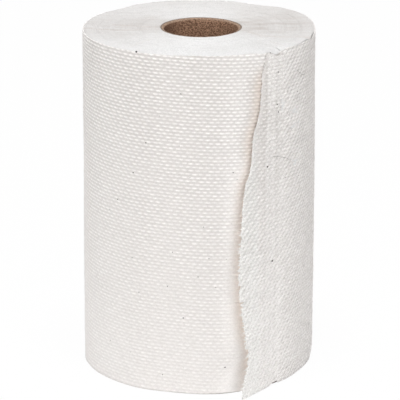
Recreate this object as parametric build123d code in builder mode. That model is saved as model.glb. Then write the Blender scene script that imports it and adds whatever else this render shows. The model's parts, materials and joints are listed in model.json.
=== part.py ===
"""Paper towel roll that stands on its end, with the torn tail of its last turn hanging loose.

Millimetres, +Z up. The origin is where the core's axis meets the end that the roll stands on.
-Y is the front, and the web is wound clockwise as seen from above, so the tail leaves the
roll at the front right and reaches to the left.
"""

from build123d import *
from math import cos, radians, sin
import os

# Web and roll. The wound web sits a little off the core's axis.
web_width = 200.0
roll_radius = 67.5
web_caliper = 0.4
roll_centre = Vector(-1.1, -1.2)

# Cardboard core, with its inner edge worn to a bevel at the upper end
core_outer_radius = 23.6
core_wall = 2.2
core_bevel = 1.1

# Tail: where it leaves the roll, the air under it there, and its outer face at the foot,
# as three legs of a curve and how far each turns away from the roll. At the upper end the
# legs run straight on from the roll.
tail_angle = -46.0
tail_slack = 0.5
tail_legs = (8.0, 14.0, 18.0)
tail_turn_out = (0.0, 20.0, 9.0)

# Torn edge: shares of the web's width, and the length of paper left there
torn_edge = (
    (0.0, 36.0),
    (0.06, 33.0),
    (0.11, 28.8),
    (0.2, 33.0),
    (0.38, 37.3),
    (0.6, 31.0),
    (0.68, 24.4),
    (0.75, 22.6),
    (0.85, 16.4),
    (0.95, 14.0),
    (1.0, 11.8),
)

# Line between the turns that shows on both ends: one of its turns stands for several
turn_line_pitch = 6.4
turn_line_width = 0.5
turn_line_depth = 0.4


def direction(angle):
    """Unit vector at an angle from +X in plan."""
    return Vector(cos(radians(angle)), sin(radians(angle)))


def winding(outer_radius, pitch, half_turns):
    """Lay a spiral inward from the tail's side, each half turn about a shifted centre."""
    centre = roll_centre
    radius = outer_radius
    angle = tail_angle
    arcs = []
    for _ in range(half_turns):
        arcs.append(CenterArc(centre, radius, angle, 180))
        angle += 180
        centre = centre + direction(angle) * (pitch / 2)
        radius -= pitch / 2
    return arcs


def tail_curve(lean, inset):
    """Lay one face of the tail, inset from its outer face, leaning out by a share."""
    point = tail_root
    points = [point - direction(tail_angle) * inset]
    for turn, leg in zip(tail_turn_out, tail_legs):
        angle = tail_angle + lean * turn
        point = point + direction(angle - 90) * leg
        points.append(point - direction(angle) * inset)
    return Bezier(*points)


# Core
with BuildPart() as core_tube:
    with BuildSketch():
        Circle(core_outer_radius)
        Circle(core_outer_radius - core_wall, mode=Mode.SUBTRACT)
    extrude(amount=web_width)
    upper_edges = core_tube.edges().filter_by(GeomType.CIRCLE).group_by(Axis.Z)[-1]
    chamfer(upper_edges.sort_by(SortBy.RADIUS)[0], length=core_bevel)
core_tube.part.label = "core_tube"

# Web: the tail, torn to its outline, then the wound turns, then the line on both ends
tail_root = roll_centre + direction(tail_angle) * roll_radius
facing = tail_angle + tail_turn_out[1] / 2
tail_face = Plane(origin=tail_root, x_dir=direction(facing - 90), z_dir=-direction(facing))
line_start = roll_radius - turn_line_pitch / 2
line_end = core_outer_radius + roll_centre.length + turn_line_width
line_half_turns = int(2 * (line_start - line_end) / turn_line_pitch)

with BuildPart() as towel_web:
    for share in (0.0, 0.5, 1.0):
        with BuildSketch(Plane.XY.offset(share * web_width)):
            with BuildLine():
                outer_face = tail_curve(1 - share, 0)
                inner_face = tail_curve(1 - share, web_caliper)
                Line(outer_face @ 0, inner_face @ 0)
                Line(outer_face @ 1, inner_face @ 1)
            make_face()
    loft()
    with BuildSketch(tail_face):
        with BuildLine():
            tear = Spline(*[(length, share * web_width) for share, length in torn_edge])
            Polyline(tear @ 1, (-web_caliper, web_width), (-web_caliper, 0), tear @ 0)
        make_face()
    extrude(amount=roll_radius, both=True, mode=Mode.INTERSECT)

    with BuildSketch():
        with BuildLine():
            last_turn = winding(roll_radius, web_caliper + tail_slack, 2)
            Line(last_turn[-1] @ 1, last_turn[0] @ 0)
        make_face()
        Circle(core_outer_radius, mode=Mode.SUBTRACT)
    extrude(amount=web_width)

    for height, depth in ((0, turn_line_depth), (web_width, -turn_line_depth)):
        with BuildSketch(Plane.XY.offset(height)):
            with BuildLine():
                outer_side = winding(line_start + turn_line_width, turn_line_pitch, line_half_turns)
                inner_side = winding(line_start, turn_line_pitch, line_half_turns)
                Line(outer_side[0] @ 0, inner_side[0] @ 0)
                Line(outer_side[-1] @ 1, inner_side[-1] @ 1)
            make_face()
        extrude(amount=depth, mode=Mode.SUBTRACT)
towel_web.part.label = "towel_web"

os.makedirs("parts", exist_ok=True)
export_step(core_tube.part, "parts/core_tube.step")
export_step(towel_web.part, "parts/towel_web.step")
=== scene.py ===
"""Looks of the paper towel roll: the embossed web with its torn tail, the wound ends and the core.

Lengths are in millimetres until a mesh is made. Angles are in degrees round the roll, from the
front (-Y) towards the right (+X). Along the web, distance runs from the tail's root: above zero
out to the tear, below zero back round the roll. A table by height holds pairs of a height and a
value, and a table by degrees pairs of the degrees back round from the root and a value.
"""

import json

import bpy
import numpy as np
from mathutils import Matrix, Vector


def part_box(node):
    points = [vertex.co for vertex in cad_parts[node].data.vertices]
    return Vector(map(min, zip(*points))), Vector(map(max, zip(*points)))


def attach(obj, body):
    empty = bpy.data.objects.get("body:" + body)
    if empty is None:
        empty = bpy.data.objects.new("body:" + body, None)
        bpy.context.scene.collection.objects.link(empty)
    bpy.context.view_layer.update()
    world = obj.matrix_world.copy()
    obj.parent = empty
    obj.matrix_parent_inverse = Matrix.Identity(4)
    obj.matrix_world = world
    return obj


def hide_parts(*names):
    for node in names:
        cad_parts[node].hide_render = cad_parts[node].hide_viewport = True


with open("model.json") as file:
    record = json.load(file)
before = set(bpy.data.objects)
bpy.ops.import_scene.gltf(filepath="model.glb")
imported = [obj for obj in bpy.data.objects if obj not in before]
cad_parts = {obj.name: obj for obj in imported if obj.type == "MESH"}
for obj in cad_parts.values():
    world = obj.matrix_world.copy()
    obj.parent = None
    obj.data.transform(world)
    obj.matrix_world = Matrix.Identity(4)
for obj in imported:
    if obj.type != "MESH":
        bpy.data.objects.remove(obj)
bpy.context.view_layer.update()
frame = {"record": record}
rng = np.random.default_rng(11)

# Roll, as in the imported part
web_width = 1000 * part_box("towel_web")[1][2]
core_outer_radius = 1000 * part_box("core_tube")[1][0]
core_inner_radius = frame["record"]["mounts"][0]["dims"]["r_mm"]
roll_radius = 67.5
roll_centre = np.array([-1.1, -1.2])
root_angle = 44.0

# Step where the last turn meets the tail's root, and the thickness of the web's edges
turn_step = 0.9
paper_edge = 0.3

# Out of round: middle and half width in degrees, then millimetres at foot and top
swells = (
    (9, 16.5, 2.2, 0), (-10, 90, -1, 0), (66, 20, -2.7, 0), (92, 10, 0.5, 0), (-92, 14, 0.7, 0),
    (-32, 12, 1, 0), (0, 35, 0, -1), (92, 25, 0, -1.1), (122, 20, 0, 2.4), (-118, 25, 0, -0.9),
)

# Dents in the upper rim: middle and half width in degrees, then depth
dents = (
    (40.8, 4.6, 2.4), (41, 1.8, 0.6), (31.5, 3.5, 1), (55, 4, 0.6), (71, 2.5, 1.2),
    (150, 9, 0.6), (-132, 9, 0.6),
)

# Worn rim of the foot: middle and half width in degrees, then depth and height
foot_tuck = (93, 12, 1.2, 3.2)

# Where the last turn's upper edge stands off the turns beneath: middle, half width and end in
# degrees, then the gap and how far down it goes
loose_rim = (69, 13, 200, 0.9, 10)

# Frays of the slit edge. A noise is given as its size, the distances along and up over which it
# changes, and its layer.
frays = ((0.12, 2.3, 1, 7), (0.2, 13, 1, 8))

# Tail: place of its concave fold and by height of the ridge after it, how far they turn it (the
# ridge at the foot and the top), and the length over which they bend
fold_at = 3.9
ridge_at = ((0, 12.5), (140, 12.5), (165, 10.5), (200, 10))
fold_turn = 14.5
ridge_turn = (3, 12)
bend_length = 3.0

# Where the tail's foot is lifted: middle and half width along it, then how high
foot_lift = (2, 4.8, 1.2)

# Torn edge: height on the web and length of paper left there, then the rows that round its corners
torn_edge = (
    (0, 36.6), (11, 33.3), (18, 29.8), (21, 27.9), (32, 30.6), (41, 32.1), (59, 33.8),
    (77, 34), (94, 31.5), (118, 28.1), (125, 26.5), (129, 24.2), (136, 21.9), (147, 21.1),
    (155, 19.8), (161, 16.8), (170, 15.5), (187, 14), (200, 11.2),
)
torn_rounding = 5

# Waves of the tear, and its teeth: size in its upper and its lower part, pitch, the heights
# between those parts, and those over which they start above the foot
tear_wave = (0.45, 3.1, 1, 5)
tooth_size = (0.3, 1.05)
tooth_pitch = 0.9
tooth_growth = (110, 70)
tooth_start = (1, 5)

# Notches between the teeth: depth in teeth, pitch, and the share of each that stays uncut
notch_depth = 4.2
notch_pitch = 1.2
notch_uncut = 0.45

# Flattened strip beside the tear: its least and greatest width, the heights over which it
# widens, and the share of it without a pattern
flat_strip = (0.6, 2.2)
flat_strip_growth = (125, 165)
flat_share = 0.4

# Embossing: low ridges with rows of short pillows, every other row shifted by half a
# pillow, and the steps of the web's grid in a row and in a pillow
row_pitch = 2.04
pillow_pitch = 3.87
pillow_height = 0.5
ridge_share = 0.1
steps_per_row = 5
steps_per_pillow = 5

# Half width of a ridge and half length of a pillow in half pitches, and how far chance moves a
# pillow along and up and changes its height
ridge_reach = 0.68
pillow_reach = 0.72
pillow_chance = (0.15, 0.12, 0.3)

# Mean height of a ridge, and of a pillow that fills its row
ridge_mean = 0.61
pillow_mean = 0.57

# By degrees: how far the rows have sunk, how far a pillow leans right of upright in its half
# lengths, and how far it reaches up and down in half rows
row_skew = (
    (0, 0), (256, 0), (286, 0.3), (296, 0.5), (306, 0.9), (320, 1.7), (334, 2.55), (360, 4.1)
)
pillow_lean = (
    (0, 0.7), (50, 0.7), (110, 0), (240, -0.7), (266, -0.7), (281, -0.4), (321, 0), (360, 0)
)
pillow_rise = ((0, 1), (50, 1), (110, 0.45), (360, 0.4))

# Share of that reach lost at the top of the tail, where the pillows stand upright, and the
# distance before the root over which that starts
upright_loss = 0.55
upright_start = 3.0

# How strongly the pattern is pressed by degrees, the share left at the foot, and the unevenness
pressed_share = ((0, 1), (50, 1), (110, 1.1), (250, 1.15), (300, 1), (360, 1.05))
foot_share = ((0, 0.8), (50, 0.8), (110, 0.4), (240, 0.35), (300, 0.3), (360, 0.3))
pressed_uneven = (0.15, 14, 10, 1)

# Share of it left on the tail by height, and the distance before the root over which that starts
tail_pressed = ((0, 0.94), (90, 0.9), (115, 0.72), (140, 0.66), (200, 0.8))
tail_pressed_start = 4.0

# Slow unevenness of the paper, and its crepe
rumples = ((0.25, 31, 37, 2), (0.07, 5, 9, 3), (0.02, 0.9, 3, 4))

# Puckers in the upper right of the last turn: middle and half width along, then up, and slants
pucker_place = ((-11, 16), (160, 34))
puckers = (0.7, 7, 5, 13)
pucker_slant = (0.8, 0.3)

# Clumps of fibres: their slant, what they do to the tone by degrees, their relief, and the
# distance past the ridge and the heights over which they end
clumps = (1, 0.8, 0.5, 16)
clump_slant = 0.5
grain_tone = ((0, 0.25), (50, 0.25), (110, 0.1), (360, 0.1))
grain_height = 0.05
grain_end = 2.0
grain_end_heights = (60, 120)

# Strength of the fine crepe in the tone, by degrees
paper_rough = ((0, 0.36), (50, 0.36), (110, 0.13), (360, 0.13))

# Tone of the paper between its darkest and its lightest, at foot and top, darker towards the top
# as painted shade, and what is added by degrees as painted light and shade round the roll
paper_tone_and_painted_shade = (0.67, 0.55)
painted_tone_round = (
    (0, 0.25), (8, 0.2), (40, 0.12), (100, 0.12), (230, 0.1),
    (270, 0), (290, -0.1), (322, -0.13), (336, -0.02), (360, 0.04),
)

# Painted light and shade added on the tail by height, and the places along over which that starts
painted_tail_light = (
    (0, 0.2), (50, 0.1), (100, -0.05), (125, -0.16),
    (145, -0.16), (160, -0.26), (172, -0.12), (200, -0.05),
)
painted_tail_light_start = (-4, 2)

# Painted shade taken off beyond the tail's ridge, at foot and top
painted_tail_shade = (0, 0.4)

# Painted shade and painted highlight along the ridge and the fold: strength, then place and half
# width of the dark and of the pale line
ridge_crease = (0.1, (1.2, 1.5), (-1, 0.8))
fold_crease = (0.12, (0, 1), (2.5, 1.2))

# Paler line along the tear, a painted highlight on its fibres: strength at foot and top, and reach
torn_light = (0.3, 0.18)
torn_light_reach = 0.7

# Painted shadow along the slit edge at the foot: strength by degrees, height in the open and
# beneath the tail, and the degrees between
foot_painted_shadow = ((0, 0.6), (300, 0.8), (316, 1.2), (330, 3), (360, 3))
foot_painted_shadow_height = (0.35, 1.35)
foot_painted_shadow_change = (351, 356)

# Painted shadow just below the rim at the top of the tail: middle and half width along it,
# strength and height
rim_painted_shadow = (3, 5, 0.8, 0.5)

# How far short of the tail's length it stops hiding the turn beneath it, by height
tear_setback = (
    (0, 10.5), (30, 8), (60, 7.3), (94, 4.5), (125, 2.1), (150, 0.6), (200, -0.2)
)

# Painted warm light and shade from the tail on that turn: reach and strength of its tint by
# height, and the heights over which it starts, down from the top
tan_reach = ((0, 4), (18, 5.8), (50, 5.5), (80, 4.2), (100, 5))
tan_strength = ((0, 0.35), (8, 0.4), (18, 0.8), (45, 0.85), (70, 0.6), (200, 0.58))
tan_start = (196, 180)

# Painted light on the paper in front of it, lifting the tail's shadow: distance at foot and top,
# strength and reach by height
pale_distance = (1, 8)
pale_strength = (
    (0, 1.1), (8, 1.05), (18, 0.75), (60, 0.6), (90, 0.45), (130, 0.25), (165, 0.15), (200, 0.1)
)
pale_reach = ((0, 10), (55, 8), (85, 5.5), (125, 6.5), (200, 16))

# Painted broad shade beside the upper tear: strength, reach, and the heights over which it takes
# the place of the thin painted shadow line beside the lower tear, given the same way
broad_shade = (0.66, 7.5)
broad_shade_start = (130, 146)
tear_shadow_line = (0.5, 0.8)

# Place past the tail's ridge at which the paper takes a painted cooler tint, for the single sheet
# with shade behind it, and the distance it takes
alone_at = 19.0
alone_blend = 4.0

noise_table = rng.uniform(-1, 1, (256, 256))


def ease(share):
    """Rise smoothly from 0 to 1."""
    share = np.clip(share, 0, 1)
    return share * share * (3 - 2 * share)


def climb(value, start, end):
    """Rise smoothly from 0 at the start to 1 at the end."""
    return ease((value - start) / (end - start))


def between(pair, share):
    """Go from the first of a pair to the second."""
    return pair[0] + (pair[1] - pair[0]) * share


def lookup(place, table):
    """Value at a place in a table of pairs."""
    return np.interp(place, *zip(*table))


def hump(away, width):
    """Fall smoothly from 1 on both sides."""
    return np.exp(-((away / width) ** 2))


def hump_round(angle, middle, width):
    """Fall smoothly from 1 on both sides of an angle, in degrees."""
    return hump((angle - middle + 180) % 360 - 180, width)


def outward(angle):
    """Unit vectors in plan that point away from the axis."""
    angle = np.radians(angle)
    return np.stack([np.sin(angle), -np.cos(angle)], -1)


def noise(x, y, layer=0):
    """Smooth noise between -1 and 1 that changes over a distance of one."""
    x = x + 37.3 * layer
    y = y + 91.7 * layer
    column = np.floor(x).astype(int)
    row = np.floor(y).astype(int)
    u = ease(x - column)
    v = ease(y - row)
    near, far = (
        noise_table[column % 256, edge % 256] * (1 - u)
        + noise_table[(column + 1) % 256, edge % 256] * u
        for edge in (row, row + 1)
    )
    return near * (1 - v) + far * v


def ripple(x, y, size, reach_x, reach_y, layer):
    """Noise of a size, and the distances over which it changes."""
    return size * noise(x / reach_x, y / reach_y, layer)


def swell(angle, height):
    """How far the roll is out of round."""
    share = height / web_width
    total = 0 * angle * height
    for middle, width, foot, top in swells:
        uneven = foot * (1 - share) ** 2 + top * share**2
        total += hump_round(angle, middle, width) * uneven
    middle, width, depth, reach = foot_tuck
    return total - depth * hump_round(angle, middle, width) * hump(height, reach)


def turn_radius(angle, height):
    """Radius of the last turn's outer face, for angles from the root to one turn on."""
    return roll_radius - turn_step * (angle - root_angle) / 360 + swell(angle, height)


def dent_depth(angle):
    """How far the upper rim has sunk."""
    return sum(depth * hump_round(angle, middle, width) for middle, width, depth in dents)


def rim_frays(along):
    """Unevenness of the web's slit edge."""
    return sum(ripple(along, 0 * along, *fray) for fray in frays)


def beyond_root(along):
    """Degrees back round the roll from the tail's root."""
    return np.degrees(np.maximum(-along, 0) / roll_radius)


# Relief of the web


def pillow_form(along, height):
    """How far a pillow leans, and how far it reaches up and down."""
    beyond = beyond_root(along)
    upright = climb(along, -upright_start, 0) * (height / web_width) ** 2
    lean = lookup(beyond, pillow_lean) * (1 - upright)
    rise = lookup(beyond, pillow_rise) * (1 - upright_loss * upright)
    return lean, rise


def embossing(along, height):
    """Shape of the pillow pattern: one on a pillow's top, and zero between the ridges."""
    row = (height + lookup(beyond_root(along), row_skew)) / row_pitch
    row_number = np.rint(row).astype(int)
    across = 2 * (row - row_number)
    lean, rise = pillow_form(along, height)
    column = along / pillow_pitch + row_number % 2 / 2 + lean * across / 2
    column_number = np.rint(column).astype(int)
    chance = noise_table[row_number % 256, column_number % 256]
    other_chance = noise_table[column_number % 256, (row_number + 128) % 256]
    moved_along, moved_up, higher = pillow_chance
    sideways = 2 * (column - column_number) + moved_along * other_chance
    upward = (across + moved_up * chance) / rise
    ridge = np.exp(-((across / ridge_reach) ** 4))
    pillow = np.exp(-(np.abs(sideways / pillow_reach) ** 3) - upward**2)
    return ridge_share * ridge + (1 - ridge_share) * (1 + higher * chance) * pillow


def pressing(along, height):
    """How strongly the pattern is pressed: least at the foot, and not at all beside the tear."""
    beyond = beyond_root(along)
    share = lookup(beyond, pressed_share)
    share = share * between((lookup(beyond, foot_share), 1), height / web_width)
    on_tail = climb(along, -tail_pressed_start, 0)
    share = share * (1 - (1 - lookup(height, tail_pressed)) * on_tail)
    share = share * (1 + ripple(along, height, *pressed_uneven))
    strip = between(flat_strip, climb(height, *flat_strip_growth))
    return share * ease((lookup(height, torn_edge) - along) / strip - flat_share)


def grain(along, height):
    """Random clumps of fibres."""
    share = lookup(beyond_root(along), grain_tone)
    past_ridge = ease((along - ridge_at[-1][1]) / grain_end)
    share = share * (1 - past_ridge * climb(height, *grain_end_heights))
    return share * ripple(along + clump_slant * height, height, *clumps)


def rumple(along, height):
    """Unevenness of the paper apart from its pattern."""
    total = grain_height * grain(along, height)
    total = total + sum(ripple(along, height, *part) for part in rumples)
    (middle_along, width_along), (middle_up, width_up) = pucker_place
    puckered = hump(along - middle_along, width_along) * hump(height - middle_up, width_up)
    slant_along, slant_up = pucker_slant
    slanted = (along + slant_along * height, height - slant_up * along)
    return total + puckered * ripple(*slanted, *puckers)


def web_relief(along, height):
    """Height of the web's face above the turn that it lies on."""
    pattern = pillow_height * pressing(along, height) * embossing(along, height)
    return pattern + rumple(along, height)


# Tone of the web


def beside_tear(along, height):
    """Distance on the turn beneath the tail, from where the tear hides it towards the left."""
    uncovered = lookup(height, torn_edge) - lookup(height, tear_setback)
    return along + 2 * np.pi * roll_radius - uncovered


def painted_tan_shade(along, height):
    """How strongly warm light and shade from the tail are painted on the web."""
    from_tear = np.maximum(beside_tear(along, height), 0)
    strength = lookup(height, tan_strength) * climb(height, *tan_start)
    return strength * hump(from_tear, lookup(height, tan_reach))


def crease_tone(beside, strength, dark, pale):
    """How much painted shade along a crease darkens the paper: its pale line, a painted highlight,
    makes it lighter.
    """
    dark_at, dark_width = dark
    pale_at, pale_width = pale
    return strength * (hump(beside - dark_at, dark_width) - hump(beside - pale_at, pale_width))


def tail_tone(along, height):
    """What painted light, painted shade, painted crease lines and the painted highlight at the
    tear add to the tail's tone.
    """
    share = height / web_width
    past_ridge = along - lookup(height, ridge_at)
    tone = lookup(height, painted_tail_light) * climb(along, *painted_tail_light_start)
    tone -= between(painted_tail_shade, share**2) * ease(past_ridge)
    tone -= crease_tone(past_ridge, *ridge_crease)
    tone -= crease_tone(along - fold_at, *fold_crease)
    from_torn = lookup(height, torn_edge) - along
    return tone + between(torn_light, share) * hump(from_torn, torn_light_reach)


def uncovered_tone(along, height):
    """Painted light and painted shade added to the tone of the turn beside the tear."""
    beside = beside_tear(along, height)
    from_pale = beside - between(pale_distance, height / web_width)
    pale = lookup(height, pale_strength) * hump(from_pale, lookup(height, pale_reach))
    from_tear = np.maximum(beside, 0)
    upper = climb(height, *broad_shade_start)
    shade = broad_shade[0] * upper * climb(height, *tan_start) * hump(from_tear, broad_shade[1])
    return pale - shade - tear_shadow_line[0] * (1 - upper) * hump(from_tear, tear_shadow_line[1])


def painted_slit_shadow(along, height):
    """How much painted shadow darkens the slit edges."""
    beyond = beyond_root(along)
    reach = between(foot_painted_shadow_height, climb(beyond, *foot_painted_shadow_change))
    foot = lookup(beyond, foot_painted_shadow) * hump(height, reach)
    middle, width, strength, reach = rim_painted_shadow
    rim = web_width - dent_depth(root_angle - np.degrees(along / roll_radius))
    return foot + strength * hump(along - middle, width) * hump(rim - height, reach)


def paper_shade(along, height):
    """Tone of the paper, painted light and shade with random grain: lighter on pillows, darker
    between rows.
    """
    # Darker towards the top and changing round the roll: painted shade and painted light
    tone = between(paper_tone_and_painted_shade[::-1], (1 - height / web_width) ** 2)
    tone = tone + lookup(beyond_root(along), painted_tone_round) + grain(along, height)
    tone = tone + tail_tone(along, height) + uncovered_tone(along, height)
    tone -= painted_slit_shadow(along, height)
    # The pattern in the tone is painted shade between the rows and painted light on the pillows
    rise = pillow_form(along, height)[1]
    mean = ridge_mean * ridge_share + pillow_mean * (1 - ridge_share) * rise
    return tone + pressing(along, height) * (embossing(along, height) - mean)


# Meshes


def plan_to_space(plan, height):
    """Join plan positions and heights."""
    return np.concatenate([plan, height[..., None]], -1)


def normals_of(points):
    """Unit normals of a grid of points."""
    cross = np.cross(np.gradient(points, axis=0), np.gradient(points, axis=1))
    return cross / np.maximum(np.linalg.norm(cross, axis=-1, keepdims=True), 1e-9)


def add_object(name, data):
    """Put a new object into the scene."""
    thing = bpy.data.objects.new(name, data)
    bpy.context.collection.objects.link(thing)
    return thing


def make_piece(
    name, patches, material, slot="towel_paper", node="towel_web", smooth=True, **attributes
):
    """Make one piece from grids of points with their normals, and put it on the frame."""
    vertices = np.concatenate([points.reshape(-1, 3) for points, _ in patches]) / 1000
    normals = np.concatenate([facing.reshape(-1, 3) for _, facing in patches])
    quads = []
    first = 0
    for points, _ in patches:
        columns, rows = points.shape[:2]
        index = first + np.arange(columns * rows).reshape(columns, rows)
        corners = (index[:-1, :-1], index[1:, :-1], index[1:, 1:], index[:-1, 1:])
        quads.append(np.stack(corners, -1).reshape(-1, 4))
        first += columns * rows
    quads = np.concatenate(quads)
    mesh = bpy.data.meshes.new(name)
    mesh.vertices.add(len(vertices))
    mesh.vertices.foreach_set("co", vertices.astype(np.float32).ravel())
    mesh.loops.add(quads.size)
    mesh.loops.foreach_set("vertex_index", quads.astype(np.int32).ravel())
    mesh.polygons.add(len(quads))
    mesh.polygons.foreach_set("loop_start", np.arange(0, quads.size, 4, dtype=np.int32))
    mesh.update(calc_edges=True)
    for key, values in attributes.items():
        layer = mesh.attributes.new(key, "FLOAT", "POINT")
        flat = np.concatenate([grid.ravel() for grid in values])
        layer.data.foreach_set("value", flat.astype(np.float32))
    if smooth:
        mesh.shade_smooth()
        mesh.normals_split_custom_set_from_vertices(normals.astype(np.float32))
    else:
        mesh.shade_flat()
    mesh.materials.append(material)
    piece = add_object(name, mesh)
    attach(piece, "root")
    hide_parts(node)
    return piece


# Materials

# Paper at its darkest and lightest tone, darker between the pillows as painted shade and lighter
# on
# them as painted light: on the roll, and where it hangs alone with a painted cooler tint
paper_backed = ((0.6, 0.57, 0.554), (0.965, 0.945, 0.933))
paper_alone_painted_cool = ((0.61, 0.6, 0.584), (0.96, 0.952, 0.938))

# Paper in painted warm light and shade from the tail, in its blotches, under painted shadow at its
# slit edges, and in its crepe
paper_painted_tan = (0.93, 0.81, 0.72)
paper_blotch = (0.7, 0.67, 0.63)
paper_painted_shadow = (0.22, 0.18, 0.155)
paper_crepe = (0.4, 0.38, 0.36)

# Cut edges of the wound turns: darkest and lightest fibres, clouds, painted shade at the sides and
# back, and painted shade in the creases
end_fibres = ((0.672, 0.672, 0.672), (0.876, 0.876, 0.876))
end_cloud = (0.66, 0.65, 0.64)
end_slack = (0.5, 0.45, 0.415)
end_crease = (0.58, 0.51, 0.465)

# Board: darkest and lightest mottle of the wall, the worn edge and the outer ply, then the
# wall's clouds and its painted shade
board_wall = ((0.22, 0.12, 0.075), (0.86, 0.545, 0.367))
board_worn = ((0.23, 0.15, 0.105), (0.48, 0.34, 0.25))
board_ply = ((0.19, 0.15, 0.12), (0.3, 0.24, 0.19))
board_cloud = (0.34, 0.2, 0.13)
board_painted_shade = (0.15, 0.085, 0.055)

# Bits and stray fibres in the pulp, darkest and lightest
speck_colours = ((0.014, 0.012, 0.009), (0.07, 0.058, 0.048))


def feed(material, node, inputs):
    """Set or link inputs of a node."""
    for key, value in inputs.items():
        if isinstance(value, bpy.types.NodeSocket):
            material.node_tree.links.new(value, node.inputs[key])
        else:
            node.inputs[key].default_value = value


def add_node(material, kind, settings=(), inputs=()):
    """Add a node, set its properties and feed it."""
    node = material.node_tree.nodes.new(kind)
    for key, value in dict(settings).items():
        setattr(node, key, value)
    feed(material, node, dict(inputs))
    return node


def new_material(name):
    """Start a material with a Principled shader."""
    material = bpy.data.materials.new(name)
    material.use_nodes = True
    return material


def noise_node(material, scale, detail):
    """Noise fixed to the object, of so many waves a metre."""
    place = add_node(material, "ShaderNodeTexCoord").outputs["Object"]
    inputs = {"Vector": place, "Scale": scale, "Detail": detail}
    return add_node(material, "ShaderNodeTexNoise", inputs=inputs).outputs["Fac"]


def span_node(material, value, low, high, to_low=0, to_high=1):
    """Map a value from one range to another."""
    inputs = dict(enumerate((value, low, high, to_low, to_high)))
    return add_node(material, "ShaderNodeMapRange", inputs=inputs).outputs["Result"]


def mix_node(material, share, first, second):
    """Mix two colours, given as links or as triples."""
    first, second = ((*end, 1) if isinstance(end, tuple) else end for end in (first, second))
    inputs = {0: share, 6: first, 7: second}
    return add_node(material, "ShaderNodeMix", {"data_type": "RGBA"}, inputs).outputs[2]


def attribute_node(material, name):
    """Read a number that was written on the mesh."""
    return add_node(material, "ShaderNodeAttribute", {"attribute_name": name}).outputs["Fac"]


def tinted(material, colour, **tints):
    """Mix tints into a colour by numbers that were written on the mesh."""
    for name, tint in tints.items():
        colour = mix_node(material, attribute_node(material, name), colour, tint)
    return colour


def finish_shader(material, colour, relief, smoothest, roughest, strength, distance):
    """Feed the shader its colour, and its roughness and bump from a noise."""
    roughness = span_node(material, relief, 0.2, 0.8, smoothest, roughest)
    inputs = {"Height": relief, "Strength": strength, "Distance": distance}
    normal = add_node(material, "ShaderNodeBump", inputs=inputs).outputs["Normal"]
    inputs = {"Base Color": colour, "Roughness": roughness, "Normal": normal}
    inputs["Specular IOR Level"] = 0.2
    feed(material, material.node_tree.nodes["Principled BSDF"], inputs)
    return material


def towel_material():
    """White recycled crepe with painted light and shade: cool where it hangs alone, warm beside
    the tear.
    """
    material = new_material("towel_paper_sheet")
    fibre = noise_node(material, 1500, 4)
    crepe = noise_node(material, 1500, 3)
    pillow = attribute_node(material, "pillow")
    backed = mix_node(material, pillow, *paper_backed)
    # The paper where it hangs alone, with a painted cooler tint
    alone = mix_node(material, pillow, *paper_alone_painted_cool)
    # Painted warm light and shade from the tail beside the tear
    colour = tinted(material, backed, loose=alone, tan=paper_painted_tan)
    blotched = span_node(material, noise_node(material, 60, 3), 0.35, 0.65, 0, 0.05)
    colour = mix_node(material, blotched, colour, paper_blotch)
    # Painted shadow at the slit edges, where the tone falls below zero
    painted_shadow = span_node(material, pillow, -1, 0, 1, 0)
    colour = mix_node(material, painted_shadow, colour, paper_painted_shadow)
    rough = span_node(material, crepe, 0.42, 0.57, attribute_node(material, "rough"), 0)
    colour = mix_node(material, rough, colour, paper_crepe)
    return finish_shader(material, colour, fibre, 0.82, 0.95, 0.35, 0.0002)


def end_material():
    """Cut edges of the wound turns."""
    material = new_material("towel_paper_ends")
    fibre = noise_node(material, 1700, 4)
    cloud = noise_node(material, 35, 3)
    fine = mix_node(material, span_node(material, fibre, 0.3, 0.7), *end_fibres)
    colour = mix_node(material, span_node(material, cloud, 0.4, 0.7, 0, 0.25), fine, end_cloud)
    # Painted shade at the sides and back of the ends, and painted shade in the creases
    colour = tinted(material, colour, slack=end_slack, crease=end_crease)
    return finish_shader(material, colour, fibre, 0.85, 0.95, 0.25, 0.0002)


def board_material():
    """Kraft board: mottled brown wall, dark outer ply and a worn light inner edge."""
    material = new_material("core_board_kraft")
    mottle = noise_node(material, 1400, 4)
    cloud = noise_node(material, 60, 2)
    wall = mix_node(material, span_node(material, mottle, 0.4, 0.6), *board_wall)
    wall = mix_node(material, span_node(material, cloud, 0.35, 0.65, 0, 0.2), wall, board_cloud)
    share = span_node(material, mottle, 0.35, 0.65)
    worn, ply = (mix_node(material, share, *ends) for ends in (board_worn, board_ply))
    # Painted shade on the wall's left and right, then the worn edge and the outer ply
    colour = tinted(material, wall, stained=board_painted_shade, worn=worn, outer_ply=ply)
    return finish_shader(material, colour, mottle, 0.75, 0.95, 0.5, 0.0003)


def speck_material():
    """Bits of old print and bark in the recycled pulp."""
    material = new_material("towel_paper_specks")
    mottle = noise_node(material, 1500, 2)
    colour = mix_node(material, span_node(material, mottle, 0.3, 0.7), *speck_colours)
    return finish_shader(material, colour, mottle, 0.8, 0.95, 0.2, 0.0001)


# Web

# Rows of the web's grid in the lips of its inner face, in from each slit edge
lip_rows = (0, 3, 12)


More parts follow.
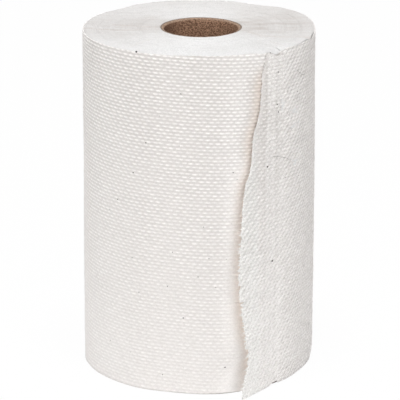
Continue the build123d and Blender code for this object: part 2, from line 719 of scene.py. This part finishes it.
def tail_outline(shares, height_shares):
    """Distance along and height of the tail's grid, whose last column is the tear."""
    height = web_width * height_shares
    torn = lookup(height, torn_edge)
    kernel = np.hanning(2 * torn_rounding + 1)
    padded = np.pad(torn, torn_rounding, mode="edge")
    torn = np.convolve(padded, kernel / kernel.sum(), mode="valid")
    tooth = between(tooth_size, climb(height, *tooth_growth)) * climb(height, *tooth_start)
    torn += ripple(height, 0 * height, *tear_wave)
    torn += tooth * noise(height / tooth_pitch, 0 * height, 6)
    notched = np.clip(noise(height / notch_pitch, 0 * height, 15) - notch_uncut, 0, 1)
    torn -= notch_depth * tooth * notched
    length = shares[:, None] * torn[None]
    rim = web_width - dent_depth(root_angle - np.degrees(length / roll_radius)) + rim_frays(length)
    middle, width, lift = foot_lift
    foot = lift * hump(length - middle, width)
    return length, foot + (rim - foot) * height_shares[None]


def tail_grid(shares, height_shares):
    """Tail's outer face from root to tear, as plan, facing, distance along and height."""
    length, height = tail_outline(shares, height_shares)
    lean = 1 - height / web_width
    fold = fold_turn * lean * ease((length - fold_at) / bend_length + 0.5)
    past_ridge = (length - lookup(height, ridge_at)) / bend_length
    ridge = between(ridge_turn, 1 - lean) * ease(past_ridge + 0.5)
    heading = root_angle + fold - ridge - np.degrees(length / roll_radius) * (1 - lean) ** 2
    step = np.diff(length, axis=0, prepend=0)
    middle = np.concatenate([heading[:1], (heading[1:] + heading[:-1]) / 2])
    direction = outward(middle)[..., ::-1] * (1, -1)
    root = roll_centre + outward(root_angle) * turn_radius(root_angle, height)[..., None]
    plan = root + np.cumsum(direction * step[..., None], axis=0)
    return plan, outward(heading), length, height


def turn_grid(angles, height_shares):
    """Outer face of the last turn from the root once round, given as the tail's is."""
    angle = np.repeat(angles[:, None], len(height_shares), axis=1)
    along = -np.radians(angle - root_angle) * roll_radius
    rim = web_width - dent_depth(angle) + rim_frays(along)
    height = rim * height_shares[None]
    middle, width, end, gap, depth = loose_rim
    lift = gap * hump_round(angle, middle, width) * (angle < end)
    lift = lift * np.exp((height - web_width) / depth)
    plan = roll_centre + outward(angle) * (turn_radius(angle, height) + lift)[..., None]
    return plan, outward(angle), along, height


def embossed_normals(normals, facing, along, height):
    """Tilt the smooth web's normals by the slopes of its relief."""
    reach = 0.1
    slope_along = web_relief(along + reach, height) - web_relief(along - reach, height)
    slope_up = web_relief(along, height + reach) - web_relief(along, height - reach)
    backward = np.stack([facing[..., 1], -facing[..., 0], 0 * height], -1)
    tilted = normals - slope_along[..., None] / (2 * reach) * backward
    tilted[..., 2] -= slope_up / (2 * reach)
    return tilted / np.linalg.norm(tilted, axis=-1, keepdims=True)


def edge_direction(outer):
    """Direction from the tear back along the web."""
    step = outer[1] - outer[0]
    return step / np.linalg.norm(step, axis=-1, keepdims=True)


def make_web(material):
    """Emboss the whole web as one grid, so that no seam shows, and cut it into pieces."""
    rows = int(web_width / row_pitch * steps_per_row)
    turn_columns = 4 * int(2 * np.pi * roll_radius / pillow_pitch * steps_per_pillow / 4)
    tail_columns = int(torn_edge[0][1] / pillow_pitch * steps_per_pillow)
    height_shares = np.linspace(0, 1, rows + 1)
    angles = np.linspace(root_angle, root_angle + 360, turn_columns + 1)
    tail_parts = tail_grid(np.linspace(0, 1, tail_columns + 1), height_shares)
    turn_parts = turn_grid(angles, height_shares)
    plan, facing, along, height = (
        np.concatenate([tail[:0:-1], turn]) for tail, turn in zip(tail_parts, turn_parts)
    )
    outer = plan_to_space(plan + facing * web_relief(along, height)[..., None], height)
    normals = embossed_normals(normals_of(plan_to_space(plan, height)), facing, along, height)
    inner = outer - normals * paper_edge
    lip = slice(tail_columns, None)
    lip_depth = rumple(along, height) - paper_edge
    inner[lip] = plan_to_space(plan + facing * lip_depth[..., None], height)[lip]
    inner[:, (0, -1), 2] = outer[:, (0, -1), 2]
    # Tone and tints of the paper, with painted light and shade, written on the mesh for its
    # material
    shades = {
        "loose": ease((along - alone_at) / alone_blend + 0.5),
        "pillow": paper_shade(along, height),
        "tan": painted_tan_shade(along, height),
        "rough": lookup(beyond_root(along), paper_rough),
    }
    ends = [0, tail_columns] + [tail_columns + k * turn_columns // 4 for k in (1, 2, 3, 4)]
    names = ("tail", "turn_right", "turn_back", "turn_left", "turn_front")
    all_rows = np.arange(rows + 1)
    for name, first, last in zip(names, ends, ends[1:]):
        columns = np.arange(first, last + 1)
        patches, places = [], []
        inner_parts = [lip_rows[::-1], [rows - k for k in lip_rows]]
        if name == "tail":
            inner_parts = [all_rows[::-1]]
            tear = np.stack([inner[0], outer[0]])
            patches.append((tear, np.broadcast_to(-edge_direction(outer), tear.shape)))
            places.append(np.ix_((0, 0), all_rows))
        for inner_rows in inner_parts:
            place = np.ix_(columns, inner_rows)
            patches.append((inner[place], -normals[place]))
            places.append(place)
        for row, up in ((0, -1), (rows, 1)):
            rim = np.stack([outer[columns, row], inner[columns, row]], 1)[:, ::up]
            patches.append((rim, np.broadcast_to([0.0, 0.0, up], rim.shape)))
            places.append(np.ix_(columns, (row, row)))
        patches.append((outer[columns], normals[columns]))
        places.append(columns)
        values = {key: [shade[place] for place in places] for key, shade in shades.items()}
        make_piece(name, patches, material, **values)
    return outer, normals, along, height


# Specks and fibres

# Bits in the pulp that show in front: distance along the web, height and radius
specks = (
    (11.4, 133, 0.72), (6.7, 76, 0.72), (-340.6, 147.8, 0.48), (-331.9, 129, 0.48),
    (-392.5, 131.7, 0.4), (-372.2, 70.6, 0.4), (-354.1, 64, 0.4), (-363.6, 45.6, 0.48),
    (-387.5, 15.8, 0.56), (-378, 81.6, 0.352), (-361.6, 177.8, 0.4), (-350.8, 10, 0.4),
    (-336.4, 58.3, 0.4), (-320.5, 111, 0.4), (-375, 100.5, 0.32), (-357, 84.7, 0.32),
    (-331.7, 78.4, 0.32), (-382.2, 64, 0.32), (-334.1, 200, 0.8), (8.8, 199.3, 0.352),
    (3, 187, 0.64), (3.4, 168, 0.48), (2.6, 163.5, 0.512), (-15, 172, 0.32),
)

# Others all round: number, and how far back, how high and how large they may be
stray_speck_count = 90
stray_speck_ranges = ((0, 400), (2, 198), (0.128, 0.256))

# Speck: how far chance takes its outline from its radius, its height over its width, and its
# rings as shares of the radius and heights above the web's face
speck_outline = (0.7, 1.2)
speck_squat = 0.7
speck_rings = ((1, -0.1), (0.85, 0.14), (0.4, 0.18), (0, 0.19))

# Fibres at the tear: number, how they crowd towards the foot, least and greatest reach, what
# chance adds to the least in the lower and the upper half, how far they point and bend off
# course, depth under the face, how far in from the tear they start, radius, and lowest height
torn_fibre_count = 300
fibre_crowding = (0.9, 1.5)
fibre_reach = (0.25, 1.9)
fibre_added = (0.62, 0.12)
fibre_off_course = 0.4
fibre_bend = 0.2
fibre_depth = (0.05, 0.25)
fibre_start = 0.15
fibre_radius = (0.14, 0.3)
fibre_lowest = 0.3

# Stray fibres on the web: points along and up, then their radius, the height of their middle above
# its face, the points they get, and how often those are smoothed
stray_fibres = (
    ((-12.4, 185.2), (-15, 183.8), (-18, 181.6), (-21, 180.6), (-23.2, 179.6)),
    ((7.3, 138.2), (3, 137.6), (-0.6, 136.3), (-4.5, 134.9), (-8.5, 132.8)),
)
stray_fibre_radius = 0.062
stray_fibre_lift = 0.16
stray_fibre_points = 25
stray_fibre_smoothing = 12


def surface_spot(web, along, height):
    """Point and normal of the web's outer face nearest to a place on it."""
    outer, normals, web_along, web_height = web
    nearest = np.argmin((web_along - along) ** 2 + (web_height - height) ** 2)
    return outer.reshape(-1, 3)[nearest], normals.reshape(-1, 3)[nearest]


def make_specks(web, material):
    """Low irregular flakes in the web's face: those seen in front, and strays all round."""
    spots = list(specks)
    for _ in range(stray_speck_count):
        back, height, radius = (rng.uniform(*limits) for limits in stray_speck_ranges)
        spots.append((-back, height, radius))
    turn = np.radians(np.linspace(0, 360, 9))
    patches = []
    for along, height, radius in spots:
        centre, normal = surface_spot(web, along, height)
        side = np.cross([0, 0, 1], normal)
        side /= np.linalg.norm(side)
        rise = speck_squat * np.cross(normal, side)
        reach = radius * rng.uniform(*speck_outline, turn.size)
        reach[-1] = reach[0]
        flat = np.cos(turn)[:, None] * side + np.sin(turn)[:, None] * rise
        rings = [
            centre + flat * (share * reach)[:, None] + normal * lift for share, lift in speck_rings
        ]
        points = np.stack(rings, 1)
        patches.append((points, np.broadcast_to(normal, points.shape)))
    make_piece("pulp_specks", patches, material)


def tube_patch(path, radii):
    """Thin tube along a path, with its normals."""
    run = np.gradient(path, axis=0)
    run /= np.linalg.norm(run, axis=-1, keepdims=True)
    side = np.cross(run, [0.13, 0.21, 0.97])
    side /= np.linalg.norm(side, axis=-1, keepdims=True)
    other = np.cross(run, side)
    turn = np.radians(np.linspace(0, 360, 6))[:, None, None]
    facing = np.cos(turn) * side + np.sin(turn) * other
    return path + facing * radii[:, None], facing


def make_torn_fibres(web, material):
    """Fibres that stick out of the tear, longest in its lower half."""
    outer, normals = web[:2]
    back = edge_direction(outer)
    least, most = fibre_reach
    lower, upper = fibre_added
    share = np.linspace(0, 1, 5)[:, None]
    patches = []
    for _ in range(torn_fibre_count):
        row = int(rng.beta(*fibre_crowding) * (outer.shape[1] - 1))
        reach = least + rng.exponential(lower if row < 0.5 * outer.shape[1] else upper)
        direction = -back[row] + rng.normal(0, fibre_off_course, 3)
        bend = rng.normal(0, fibre_bend, 3) * reach
        start = outer[0, row] - normals[0, row] * rng.uniform(*fibre_depth)
        start += fibre_start * back[row]
        length = min(reach, most) + fibre_start
        path = start + direction * length * share + bend * share**2
        path[:, 2] = np.maximum(path[:, 2], fibre_lowest)
        taper = (1.02 - share[:, 0]) ** 0.5
        patches.append(tube_patch(path, rng.uniform(*fibre_radius) * taper))
    values = [np.ones(points.shape[:2]) for points, _ in patches]
    make_piece("torn_fibres", patches, material, loose=values, pillow=values)


def make_stray_fibres(web, material):
    """Dark fibres that lie across the face."""
    patches = []
    for line in stray_fibres:
        marks = np.linspace(0, len(line) - 1, stray_fibre_points)
        places = (np.interp(marks, np.arange(len(line)), values) for values in zip(*line))
        spots = [surface_spot(web, *place) for place in zip(*places)]
        path = np.array([point + stray_fibre_lift * normal for point, normal in spots])
        for _ in range(stray_fibre_smoothing):
            path[1:-1] = 0.25 * path[:-2] + 0.5 * path[1:-1] + 0.25 * path[2:]
        taper = np.sin(np.linspace(0.1, np.pi - 0.1, len(path))) ** 0.4
        patches.append(tube_patch(path, stray_fibre_radius * taper))
    make_piece("stray_fibres", patches, material)


# Wound ends

end_columns = 480
end_rings = 90

# How far the wound body stands in from the web's face, and its ends from the end planes
wound_inset = 0.15
end_inset = 0.1

# Relief of the ends: height of a ring, how far chance changes it, unevenness by rings, waves
# across the end, and patches in the rings
ring_height = 0.14
ring_chance = 0.6
turn_unevenness = (0.12, 5, 1)
end_waves = (0.2, 17, 17)
ring_patches = (0.4, 4, 4)

# Shares of the way in over which the slow relief starts, and the rim's dents and frays end
relief_start = 0.05
dent_share = 0.08
fray_share = 0.02

# Creases pressed into the upper end: points in plan, then width and depth
creases = (
    (((-67.4, -3), (-58.1, -4.1), (-43.7, -6.3), (-35.1, -5.1), (-24.7, -3.8)), 1, 0.35),
    (((-50.9, 6.7), (-35.2, 2), (-26.5, 0.9)), 1.2, 0.4),
    (((27.6, -10.3), (34.9, -18.7), (45.1, -21.7), (52, -21.4), (64, -20.8)), 1.2, 0.45),
    (((39.2, -32.6), (46.4, -41.7)), 0.9, 0.2),
    (((-39.5, -44.6), (-31.8, -30.8), (-29, -28.5)), 1, 0.2),
)
# Share of brown painted shade in the creases for each millimetre of their depth
crease_shade = 0.7

# Painted shade at both sides of the ends: middle in degrees and weight, half width, strength, the
# share of it left at the rim, and its unevenness
slack_sides = ((102, 1.08), (-97, 0.85))
slack_width = 43.0
slack_strength = 0.53
slack_rim_share = 0.45
slack_uneven = (0.5, 9, 2.5, 14)

# Painted shade at the back rim of the ends: middle and half width in degrees, then strength
painted_back_shade = (180, 60, 0.2)


def crease_depth(x, y):
    """Depth of the creases in the upper end."""
    total = 0 * x
    for points, width, depth in creases:
        nearest = np.full(x.shape, 1e9)
        for (x0, y0), (x1, y1) in zip(points, points[1:]):
            run_x = x1 - x0
            run_y = y1 - y0
            share = ((x - x0) * run_x + (y - y0) * run_y) / np.hypot(run_x, run_y) ** 2
            share = np.clip(share, 0, 1)
            distance = np.hypot(x - x0 - share * run_x, y - y0 - share * run_y)
            nearest = np.minimum(nearest, distance)
        total += depth * hump(nearest, width)
    return total


def end_relief(shares, plan, layer):
    """How far each wound turn stands in from the end's plane: every other circle is a trough."""
    circle = np.arange(shares.size)
    x, y = plan[..., 0], plan[..., 1]
    chance = 1 + ring_chance * noise_table[circle, 7 + layer]
    trough = ring_height * chance * (circle % 2 * 2 - 1)
    turns = ripple(circle, 0 * circle, *turn_unevenness, 20 + layer)
    waves = ripple(x, y, *end_waves, 9 + layer)
    patchy = 1 + ripple(x, y, *ring_patches, 11 + layer)
    return end_inset + trough * patchy + (turns + waves) * ease(shares / relief_start)


def slack_shade(angle, shares, plan):
    """How much painted shade darkens an end at its sides and back."""
    sides = sum(weight * hump_round(angle, middle, slack_width) for middle, weight in slack_sides)
    uneven = 1 + ripple(plan[..., 0], plan[..., 1], *slack_uneven)
    middle, width, strength = painted_back_shade
    back = strength * hump_round(angle, middle, width) * (1 - shares)
    return slack_strength * sides * between((slack_rim_share, 1), shares) * uneven + back


def make_wound_turns(material):
    """Closed body of the wound turns, with both ends in relief."""
    angle = np.linspace(root_angle, root_angle + 360, end_columns + 1)[:, None]
    shares = np.linspace(0, 1, end_rings + 1)[None]
    along = -np.radians(angle - root_angle) * roll_radius
    core_face = outward(angle) * core_outer_radius

    def wall(height):
        """Body's side in plan."""
        radius = turn_radius(angle, height) + rumple(along, height) - wound_inset
        return roll_centre + outward(angle) * radius[..., None]

    patches, creased, slack, rims, bores = [], [], [], [], []
    for layer, plane, up in ((0, 0, -1), (1, web_width, 1)):
        plan = wall(plane + 0 * angle) * (1 - shares)[..., None] + core_face * shares[..., None]
        inset = end_relief(shares, plan, layer)
        crease = 0 * inset
        if up == 1:
            crease = crease_depth(plan[..., 0], plan[..., 1])
            inset = inset + crease + dent_depth(angle) * hump(shares, dent_share)
            inset = inset - rim_frays(along) * hump(shares, fray_share)
        else:
            inset = np.maximum(inset, 0)
        end = plan_to_space(plan, plane - up * inset)
        patches.append((end[:, ::up], normals_of(end[:, ::up])))
        creased.append(np.clip(crease[:, ::up] * crease_shade, 0, 1))
        # Painted shade at the sides and back
        slack.append(slack_shade(angle, shares, plan)[:, ::up])
        rims.append(end[:, 0])
        bores.append(end[:, -1])
    levels = np.linspace(0, 1, 9)[None, :, None]
    heights = rims[0][:, None, 2:] * (1 - levels) + rims[1][:, None, 2:] * levels
    side = plan_to_space(wall(heights[..., 0]), heights[..., 0])
    bore = np.stack(bores[::-1], 1)
    patches += [(side, normals_of(side)), (bore, normals_of(bore))]
    plain = [np.zeros(points.shape[:2]) for points in (side, bore)]
    values = {"crease": creased + plain, "slack": slack + plain}
    make_piece("wound_turns", patches, material, smooth=False, **values)


# Core

core_columns = 300
bore_rows = 120

# Width of the outer ply's edge, then width and depth of the bevel inside it
outer_ply = 0.9
bevel = 1.1
bevel_drop = 0.6

# Wear of the upper edge: size, how finely it changes round the core, the distance up over which
# it changes, and the shares of it by which the bevel sinks and the wall is uneven
core_wear = 0.12
core_wear_round = 15.0
core_wear_up = 9.0
bevel_sinks = 0.8
wall_wear = 0.3

# Seam of the inner ply: how far it climbs in a turn, and its groove's depth and width
seam_pitch = 96.0
seam_depth = 0.18
seam_width = 1.5

# Painted shade on the wall towards its left and right: middle in degrees, half width and strength
painted_wall_shades = ((180, 50, 0.9), (0, 50, 0.28))


def make_core(material):
    """Cardboard tube: outer ply, worn bevel, and inner wall with the helical seam of its ply."""
    top = web_width
    ply_radius = core_outer_radius - outer_ply
    ply_radii = np.linspace(core_outer_radius - 0.1, ply_radius + 0.05, 4)
    wall_heights = np.linspace(top - bevel_drop - 0.5, 0.6, bore_rows)
    profile = [(core_outer_radius, 0), (core_outer_radius, top - 0.1)]
    profile += [(radius, top) for radius in ply_radii] + [(ply_radius, top - 0.02)]
    for share in (0.25, 0.5, 0.75, 1):
        profile.append((ply_radius - bevel * share, top - bevel_drop * share**1.3))
    profile += [(core_inner_radius, height) for height in wall_heights]
    profile += [(core_inner_radius + 0.1, 0.1), (core_inner_radius + 0.3, 0), (ply_radius, 0)]
    profile += [(core_outer_radius, 0)]
    radius, height = np.array(profile).T
    angle = np.linspace(0, 360, core_columns + 1)[:, None]
    on_ply = (radius > ply_radius - 0.01) & (height > top - 0.05)
    on_bevel = (radius < ply_radius) & (height > top - bevel_drop - 0.3)
    on_wall = (radius < core_inner_radius + 0.01) & (height < top - bevel_drop - 0.2)
    direction = np.stack([np.cos(np.radians(angle)), np.sin(np.radians(angle))], -1)
    x, y = (core_wear_round * direction[..., axis] + height / core_wear_up for axis in (0, 1))
    wear = core_wear * noise(x, y, 12)
    groove = seam_depth * np.exp(-((height - seam_pitch * angle / 360) % seam_pitch) / seam_width)
    radii = radius + on_bevel * wear + on_wall * (wall_wear * wear + groove)
    heights = height - on_ply * np.abs(wear) - on_bevel * bevel_sinks * np.abs(wear)
    points = plan_to_space(direction * radii[..., None], heights)
    # Painted shade on the wall towards its left and right
    stained = sum(weight * hump_round(angle, middle, width) for middle, width, weight in painted_wall_shades)
    values = {
        "worn": [on_bevel + 0.0 * angle],
        "outer_ply": [on_ply + 0.0 * angle],
        "stained": [on_wall * stained],
    }
    patches = [(points, normals_of(points))]
    make_piece("core_board", patches, material, "core_board", "core_tube", **values)


# Studio, in metres and degrees

# Camera: place, how far it looks down, its turns about the vertical and about its own line of
# sight, and its lens in millimetres
camera_place = (-0.0011, -1.89316, 0.67234)
camera_down = 16.94
camera_turn = -0.02
camera_roll = 0.11
camera_lens = 303.94

# Soft lamps: place, size, power and colour
lamps = {
    "overhead": ((0, -0.35, 2.4), 0.9, 35, (1, 0.99, 0.985)),
    "side_left": ((-2, -0.6, 0.9), 0.8, 3, (1, 0.985, 0.965)),
    "side_right": ((1.1, -1.6, 0.8), 0.6, 3.6, (1, 0.985, 0.965)),
    "foot_right": ((1.1, -0.8, 0.03), 0.5, 2, (1, 0.99, 0.97)),
    "back_left": ((-1.6, 1.1, 0.15), 0.3, 2, (1, 0.985, 0.96)),
    "back_right": ((1.6, 1.1, 0.15), 0.3, 1.5, (1, 0.985, 0.96)),
    "foot_front": ((-0.45, -1.2, 0.03), 0.4, 6, (1, 0.985, 0.965)),
}
lamp_aim = (0, 0, 0.1)

# Soft light all round, half width of the floor, its colour, and the share of white in it where
# it is seen
world_strength = 0.4
floor_reach = 6.0
floor_colour = (0.9, 0.9, 0.9, 1)
floor_white_share = 0.96


def make_camera():
    """Camera where the photograph was taken from."""
    camera = add_object("camera", bpy.data.cameras.new("camera"))
    camera.data.lens = camera_lens
    camera.data.clip_end = 20
    view = Matrix.Translation(camera_place)
    for angle, axis in ((camera_turn, "Z"), (90 - camera_down, "X"), (camera_roll, "Z")):
        view = view @ Matrix.Rotation(np.radians(angle), 4, axis)
    camera.matrix_world = view
    bpy.context.scene.camera = camera


def make_lamp(name, place, size, power, colour):
    """Soft lamp that faces the middle of the roll."""
    data = bpy.data.lights.new(name, "AREA")
    data.shape = "DISK"
    data.size = size
    data.energy = power
    data.color = colour
    lamp = add_object(name, data)
    lamp.visible_camera = False
    facing = (Vector(lamp_aim) - Vector(place)).to_track_quat("-Z", "Y")
    lamp.matrix_world = Matrix.Translation(place) @ facing.to_matrix().to_4x4()


def seen_directly(material):
    """One for rays from the camera, or by way of gloss or glass."""
    path = add_node(material, "ShaderNodeLightPath").outputs
    total = path["Is Camera Ray"]
    for name in ("Is Glossy Ray", "Is Transmission Ray"):
        inputs = {0: total, 1: path[name]}
        total = add_node(material, "ShaderNodeMath", {"operation": "MAXIMUM"}, inputs).outputs[0]
    return total


def make_floor():
    """Pale floor that looks white and keeps the roll's soft shadow."""
    mesh = bpy.data.meshes.new("floor")
    near, far = -floor_reach, floor_reach
    corners = [(near, near, 0), (far, near, 0), (far, far, 0), (near, far, 0)]
    mesh.from_pydata(corners, [], [(0, 1, 2, 3)])
    floor = add_object("floor", mesh)
    material = new_material("floor_white")
    nodes = material.node_tree.nodes
    shader = nodes["Principled BSDF"]
    feed(material, shader, {"Base Color": floor_colour, "Roughness": 0.9})
    share = span_node(material, seen_directly(material), 0, 1, 0, floor_white_share)
    glow = add_node(material, "ShaderNodeEmission", inputs={"Color": (1, 1, 1, 1), "Strength": 1})
    inputs = {0: share, 1: shader.outputs[0], 2: glow.outputs[0]}
    mix = add_node(material, "ShaderNodeMixShader", inputs=inputs)
    feed(material, nodes["Material Output"], {"Surface": mix.outputs[0]})
    mesh.materials.append(material)


def make_world():
    """Even soft light all round, and white where the background is seen."""
    world = bpy.data.worlds.new("studio")
    world.use_nodes = True
    bpy.context.scene.world = world
    level = span_node(world, seen_directly(world), 0, 1, world_strength, 1)
    feed(world, world.node_tree.nodes["Background"], {"Color": (1, 1, 1, 1), "Strength": level})


make_camera()
towel = towel_material()
web_face = make_web(towel)
make_torn_fibres(web_face, towel)
speckled = speck_material()
make_specks(web_face, speckled)
make_stray_fibres(web_face, speckled)
make_wound_turns(end_material())
make_core(board_material())

make_floor()
make_world()
for name, lamp in lamps.items():
    make_lamp(name, *lamp)
bpy.context.scene.view_settings.view_transform = "Standard"
